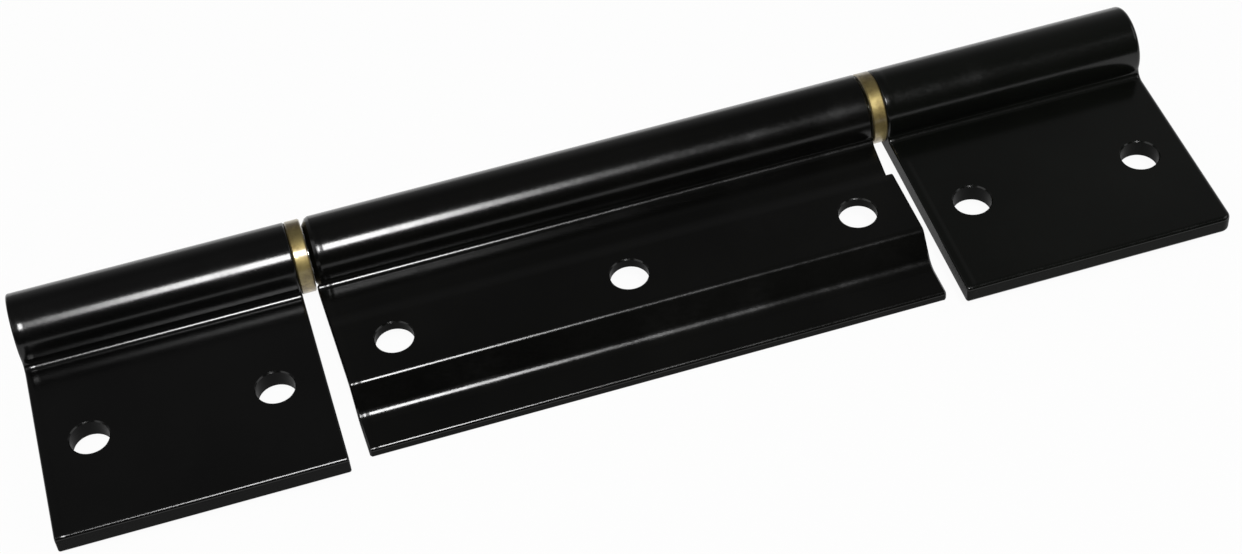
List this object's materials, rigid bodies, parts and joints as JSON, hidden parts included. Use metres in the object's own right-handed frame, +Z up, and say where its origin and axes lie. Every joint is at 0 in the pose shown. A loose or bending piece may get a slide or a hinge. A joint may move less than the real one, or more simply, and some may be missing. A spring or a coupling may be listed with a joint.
{
  "type": "three-knuckle butt hinge",
  "caption": "Three-knuckle butt hinge in black coated aluminium with brass bearing rings, screw-on leaves and a stepped centre leaf, for doors and folding panels.",
  "frame": {"origin": "middle of the closed hinge's bounding box in plan, at the height of the lowest face, the underside of the centre leaf's outer flange", "axes": "+X along the pin from the left leaf to the right leaf, -Y from the pin towards the free edges of the leaves, +Z up from the leaves' backs towards their visible faces"},
  "size_m": [0.2, 0.0498, 0.0154],
  "materials": {
    "left_leaf_coat": "gloss black coating on extruded aluminium",
    "center_leaf_coat": "gloss black coating on extruded aluminium",
    "right_leaf_coat": "gloss black coating on extruded aluminium",
    "pin_steel": "ground stainless steel",
    "flanged_bush_brass": "turned brass, slightly dulled",
    "end_bush_brass": "turned brass",
    "plug_nylon": "black moulded nylon",
    "set_screw_steel": "black oxide steel"
  },
  "bodies": {
    "center": {"center_leaf": "center_leaf_coat", "hinge_pin": "pin_steel", "left_set_screw": "set_screw_steel", "right_set_screw": "set_screw_steel"},
    "left": {"left_leaf": "left_leaf_coat", "left_flanged_bush": "flanged_bush_brass", "left_end_bush": "end_bush_brass", "left_end_plug": "plug_nylon"},
    "right": {"right_leaf": "right_leaf_coat", "right_flanged_bush": "flanged_bush_brass", "right_end_bush": "end_bush_brass", "right_end_plug": "plug_nylon"}
  },
  "joints": [
    {"name": "left_leaf_turn", "type": "hinge", "parent": "center", "child": "left", "pos_m": [-0.07625, 0.01852, 0.009], "axis": [1, 0, 0], "continuous": true},
    {"name": "right_leaf_turn", "type": "hinge", "parent": "center", "child": "right", "pos_m": [0.07625, 0.01852, 0.009], "axis": [1, 0, 0], "continuous": true}
  ]
}
